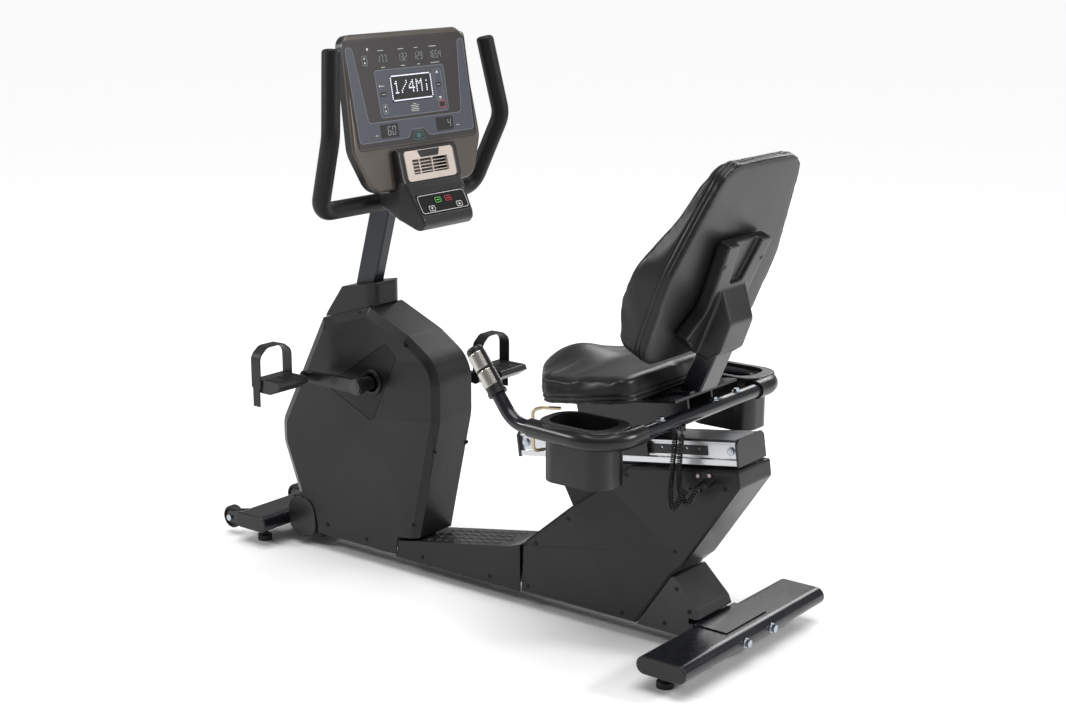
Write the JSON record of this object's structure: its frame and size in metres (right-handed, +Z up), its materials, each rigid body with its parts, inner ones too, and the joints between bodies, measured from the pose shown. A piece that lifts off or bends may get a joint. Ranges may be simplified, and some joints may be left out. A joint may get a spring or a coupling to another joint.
{
  "type": "recumbent exercise bike",
  "caption": "Recumbent exercise bike with a covered belt drive, sliding bucket seat on an inclined rail, console on a mast, pulse grips and cup holders.",
  "frame": {"origin": "on the floor, under the middle of the bike's bounding box", "axes": "rider faces -X, +Z up, Y across the bike with Y = 0 as the middle plane"},
  "size_m": [1.54, 0.7127, 1.2958],
  "materials": {
    "frame_paint": "satin dark blue-grey powder coat",
    "cover_plastic": "fine-grained charcoal moulding",
    "trim_plastic": "black moulding",
    "console_plastic": "brown-grey metallic moulding",
    "display_gloss": "gloss printed sheet",
    "bezel_silver": "warm silver moulding",
    "foam": "closed-cell foam",
    "vinyl": "soft black vinyl",
    "aluminium": "brushed anodised",
    "zinc": "bright zinc plate",
    "steel": "machined steel",
    "cast_black": "black painted forging",
    "gold_zinc": "yellow passivated wire",
    "rubber": "matt rubber",
    "belt": "ribbed belt",
    "cord": "curly lead jacket",
    "key_face": "printed key"
  },
  "bodies": {
    "frame": {"spine_tube": "frame_paint", "front_upright": "frame_paint", "rear_upright": "frame_paint", "front_stabiliser": "frame_paint", "rear_stabiliser": "frame_paint", "end_caps": "cover_plastic", "frame_bolts": "zinc", "front_feet": "rubber", "shaft_bearings": "steel", "crank_covers": "cover_plastic", "front_base_cover": "cover_plastic", "neck_cover": "cover_plastic", "footwell_cover": "cover_plastic", "rear_base_cover": "cover_plastic", "cover_screws": "trim_plastic", "mast": "frame_paint", "handlebar": "frame_paint", "handlebar_grips": "foam", "console_shell": "trim_plastic", "console_face": "console_plastic", "console_pod": "cover_plastic", "fan_bezel": "bezel_silver", "keypad": "display_gloss", "seat_rail": "aluminium", "latch_strip": "trim_plastic", "lead_plugs": "trim_plastic", "lead_sockets": "trim_plastic", "front_shroud_left": "cover_plastic", "front_shroud_right": "cover_plastic", "rear_body_left": "cover_plastic", "rear_body_right": "cover_plastic", "drive_belt": "belt", "pulse_lead_front": "cord", "pulse_lead_rear": "cord"},
    "crank": {"crank_axle": "steel", "crank_arms": "cast_black", "drive_pulley": "trim_plastic"},
    "flywheel_rotor": {"flywheel": "steel"},
    "pedal_near": {"pedal_left": "trim_plastic", "pedal_strap_left": "rubber"},
    "pedal_far": {"pedal_right": "trim_plastic", "pedal_strap_right": "rubber"},
    "seat": {"seat_carriage": "frame_paint", "seat_bar": "frame_paint", "cup_holder_left": "cover_plastic", "cup_holder_right": "cover_plastic", "pulse_grips": "trim_plastic", "seat_cushion": "vinyl", "back_cushion": "vinyl", "back_bracket": "cover_plastic", "back_post": "frame_paint"},
    "latch_handle": {"seat_lever": "gold_zinc"},
    "wheel_near": {"transport_wheel_left": "rubber"},
    "wheel_far": {"transport_wheel_right": "rubber"},
    "foot_near": {"levelling_foot_left": "rubber"},
    "foot_far": {"levelling_foot_right": "rubber"},
    "start_button": {"key_start": "key_face"},
    "stop_button": {"key_stop": "key_face"},
    "up_button": {"key_up": "key_face"},
    "down_button": {"key_down": "key_face"}
  },
  "joints": [
    {"name": "crank_spin", "type": "hinge", "parent": "frame", "child": "crank", "pos_m": [-0.289, 0, 0.465], "axis": [0, 1, 0], "continuous": true},
    {"name": "flywheel_spin", "type": "hinge", "parent": "frame", "child": "flywheel_rotor", "pos_m": [-0.44, 0, 0.228], "axis": [0, 1, 0], "continuous": true},
    {"name": "pedal_left_spin", "type": "hinge", "parent": "crank", "child": "pedal_near", "pos_m": [-0.459, -0.208, 0.465], "axis": [0, 1, 0], "continuous": true},
    {"name": "pedal_right_spin", "type": "hinge", "parent": "crank", "child": "pedal_far", "pos_m": [-0.119, 0.208, 0.465], "axis": [0, 1, 0], "continuous": true},
    {"name": "seat_slide", "type": "slide", "parent": "frame", "child": "seat", "axis": [0.9898, 0, 0.1426], "range_m": [-0.12, 0.17], "deforming": ["pulse_lead_front", "pulse_lead_rear"]},
    {"name": "latch_lift", "type": "hinge", "parent": "seat", "child": "latch_handle", "pos_m": [0.336, -0.066, 0.416], "axis": [0, 1, 0], "range_deg": [0, 8], "stiffness_Nm_per_rad": 1.2, "springref_deg": -14.32},
    {"name": "wheel_left_spin", "type": "hinge", "parent": "frame", "child": "wheel_near", "pos_m": [-0.741, -0.115, 0.046], "axis": [0, 1, 0], "continuous": true},
    {"name": "wheel_right_spin", "type": "hinge", "parent": "frame", "child": "wheel_far", "pos_m": [-0.741, 0.115, 0.046], "axis": [0, 1, 0], "continuous": true},
    {"name": "foot_left_turn", "type": "hinge", "parent": "frame", "child": "foot_near", "pos_m": [0.675, -0.231, 0.02], "axis": [0, 0, 1], "continuous": true},
    {"name": "foot_right_turn", "type": "hinge", "parent": "frame", "child": "foot_far", "pos_m": [0.675, 0.231, 0.02], "axis": [0, 0, 1], "continuous": true},
    {"name": "press_start", "type": "slide", "parent": "frame", "child": "start_button", "axis": [-0.8788, 0, -0.4772], "range_m": [0, 0.0012], "stiffness_N_per_m": 600, "springref_m": -0.0003},
    {"name": "press_stop", "type": "slide", "parent": "frame", "child": "stop_button", "axis": [-0.8788, 0, -0.4772], "range_m": [0, 0.0012], "stiffness_N_per_m": 600, "springref_m": -0.0003},
    {"name": "press_up", "type": "slide", "parent": "frame", "child": "up_button", "axis": [-0.8788, 0, -0.4772], "range_m": [0, 0.0012], "stiffness_N_per_m": 600, "springref_m": -0.0003},
    {"name": "press_down", "type": "slide", "parent": "frame", "child": "down_button", "axis": [-0.8788, 0, -0.4772], "range_m": [0, 0.0012], "stiffness_N_per_m": 600, "springref_m": -0.0003}
  ],
  "couplings": [
    {"joint": "flywheel_spin", "follows": "crank_spin", "ratio": 4.7643}
  ]
}
